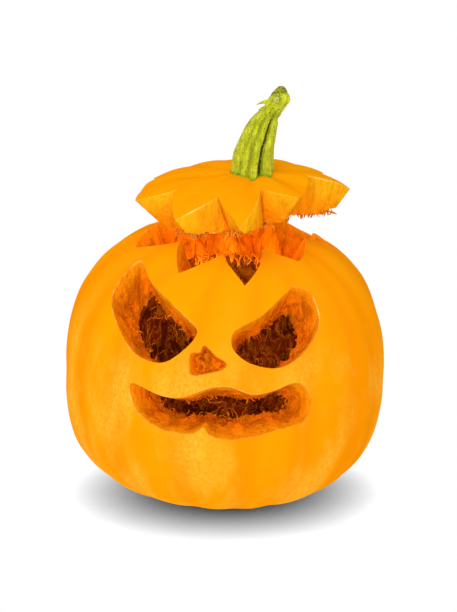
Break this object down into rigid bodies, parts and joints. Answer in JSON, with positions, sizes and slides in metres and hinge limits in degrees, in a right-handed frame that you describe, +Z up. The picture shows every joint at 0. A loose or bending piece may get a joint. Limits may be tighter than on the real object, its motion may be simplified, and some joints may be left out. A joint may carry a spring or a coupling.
{
  "type": "carved pumpkin lantern",
  "caption": "Hollow carved pumpkin with cut eyes, nose and mouth, and a zig-zag-cut lid with a curved green stem held up off its seat.",
  "frame": {"origin": "middle of the bounding box's underside, on the flat spot that the pumpkin stands on", "axes": "+Z up through the lid and stem; the carved face looks along -Y; +X is to the right as seen by someone facing the carved face"},
  "size_m": [0.2578, 0.2582, 0.3323],
  "materials": {
    "pumpkin_skin": "satin waxy orange rind over paler orange cut flesh and a fibrous dark orange inside",
    "lid_skin": "satin waxy orange rind over pale yellow-orange cut flesh",
    "stem_green": "rough ridged yellow-green stalk with darker grooves and short bristles"
  },
  "bodies": {
    "root": {"shell": "pumpkin_skin", "lid": "lid_skin", "stem": "stem_green"}
  },
  "joints": []
}
